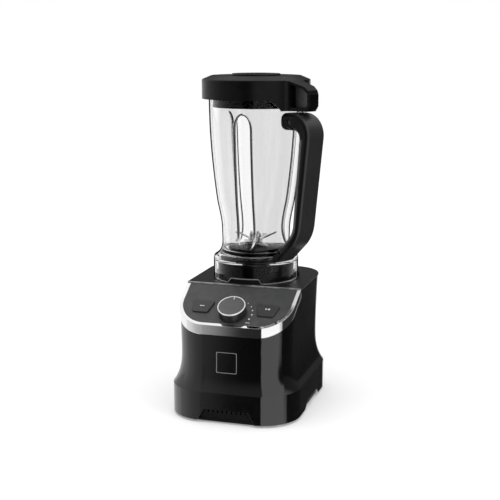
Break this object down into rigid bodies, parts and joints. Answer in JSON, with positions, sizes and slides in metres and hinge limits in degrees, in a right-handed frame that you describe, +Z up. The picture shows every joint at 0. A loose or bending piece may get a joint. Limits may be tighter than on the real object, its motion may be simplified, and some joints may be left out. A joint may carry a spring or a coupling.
{
  "type": "countertop blender",
  "caption": "Countertop blender with a waisted motor base, sloping control panel, lift-off fluted clear jug with blade set and loop handle, and a lid with a filler cap.",
  "frame": {"origin": "on the drive axis at the level of the table that the feet stand on", "axes": "+Z up along the drive axis, +X to the right seen from the front, the front with the control panel faces -Y"},
  "size_m": [0.1972, 0.2492, 0.4626],
  "materials": {
    "housing_black": "satin to gloss moulded black plastic",
    "deck_black": "matte moulded black plastic",
    "trim_steel": "polished brushed steel",
    "panel_grey": "fine-textured dark grey plastic",
    "knob_black": "satin black plastic",
    "knob_chrome": "bright plated ring",
    "knob_grey": "spun grey disc",
    "button_black": "matte soft-touch plastic",
    "rubber_black": "moulded rubber",
    "gasket_grey": "moulded silicone",
    "board_green": "coated circuit board",
    "part_black": "moulded plastic",
    "screw_steel": "plated steel",
    "screw_black": "black-coated steel",
    "lamination": "stacked steel sheet",
    "copper": "enamelled copper",
    "carbon": "pressed carbon",
    "bracket_metal": "die-cast",
    "bearing_steel": "ground steel",
    "jug_clear": "clear moulded plastic",
    "handle_black": "satin black plastic",
    "handle_grey": "soft grip, dark grey",
    "unit_black": "moulded black plastic",
    "blade_steel": "polished stainless steel",
    "lid_black": "matte soft-touch black",
    "cap_black": "matte black plastic"
  },
  "bodies": {
    "base": {"base_housing": "housing_black", "top_deck": "deck_black", "deck_screws": "screw_steel", "trim_band": "trim_steel", "control_panel": "panel_grey", "base_plate": "deck_black", "feet": "rubber_black", "base_screws": "screw_steel", "cord_gland": "rubber_black", "control_board": "board_green", "board_screws": "screw_steel", "speed_encoder": "part_black", "button_switches": "part_black", "motor_stator": "lamination", "field_coils": "copper", "lower_bracket": "bracket_metal", "upper_bracket": "bracket_metal", "lower_bearing": "bearing_steel", "upper_bearing": "bearing_steel", "motor_bolts": "screw_steel", "motor_mounts": "rubber_black", "brush_holders": "part_black", "carbon_brushes": "carbon", "shaft_seal": "rubber_black"},
    "knob": {"speed_knob": "knob_black", "knob_ring": "knob_chrome", "knob_face": "knob_grey", "knob_spindle": "screw_steel"},
    "pulse_button": {"pulse_button": "button_black"},
    "start_button": {"start_button": "button_black"},
    "rotor": {"rotor_core": "lamination", "rotor_windings": "copper", "commutator": "copper", "motor_shaft": "bearing_steel", "cooling_fan": "part_black", "drive_coupling": "rubber_black"},
    "jug": {"jug": "jug_clear", "handle_shell": "handle_black", "handle_cover": "handle_grey", "handle_screws": "screw_black", "bearing_housing": "unit_black", "housing_gasket": "gasket_grey", "retaining_nut": "unit_black", "blade_bearings": "bearing_steel", "blade_seal": "rubber_black"},
    "blade_set": {"blade_upper": "blade_steel", "blade_middle": "blade_steel", "blade_lower": "blade_steel", "blade_spacers": "blade_steel", "blade_nut": "blade_steel", "blade_shaft": "bearing_steel", "drive_socket": "bearing_steel"},
    "lid": {"lid_body": "lid_black", "lid_seal": "rubber_black"},
    "filler_cap": {"filler_cap": "cap_black", "cap_seal": "rubber_black"}
  },
  "joints": [
    {"name": "speed_turn", "type": "hinge", "parent": "base", "child": "knob", "pos_m": [0, -0.10938, 0.14644], "axis": [0, 0.4756, -0.8796], "range_deg": [0, 125]},
    {"name": "pulse_press", "type": "slide", "parent": "base", "child": "pulse_button", "axis": [0, 0.4756, -0.8796], "range_m": [0, 0.0015], "stiffness_N_per_m": 1200},
    {"name": "start_press", "type": "slide", "parent": "base", "child": "start_button", "axis": [0, 0.4756, -0.8796], "range_m": [0, 0.0015], "stiffness_N_per_m": 1200},
    {"name": "rotor_spin", "type": "hinge", "parent": "base", "child": "rotor", "pos_m": [0, 0, 0.1], "axis": [0, 0, 1], "continuous": true},
    {"name": "jug_lift", "type": "slide", "parent": "base", "child": "jug", "axis": [0, 0, 1], "range_m": [0, 0.045]},
    {"name": "blade_spin", "type": "hinge", "parent": "jug", "child": "blade_set", "pos_m": [0, 0, 0.22], "axis": [0, 0, 1], "continuous": true},
    {"name": "lid_lift", "type": "slide", "parent": "jug", "child": "lid", "axis": [0, 0, 1], "range_m": [0, 0.05]},
    {"name": "cap_lift", "type": "slide", "parent": "lid", "child": "filler_cap", "axis": [0, 0, 1], "range_m": [0, 0.035]}
  ],
  "couplings": [
    {"joint": "blade_spin", "follows": "rotor_spin", "ratio": 1}
  ]
}
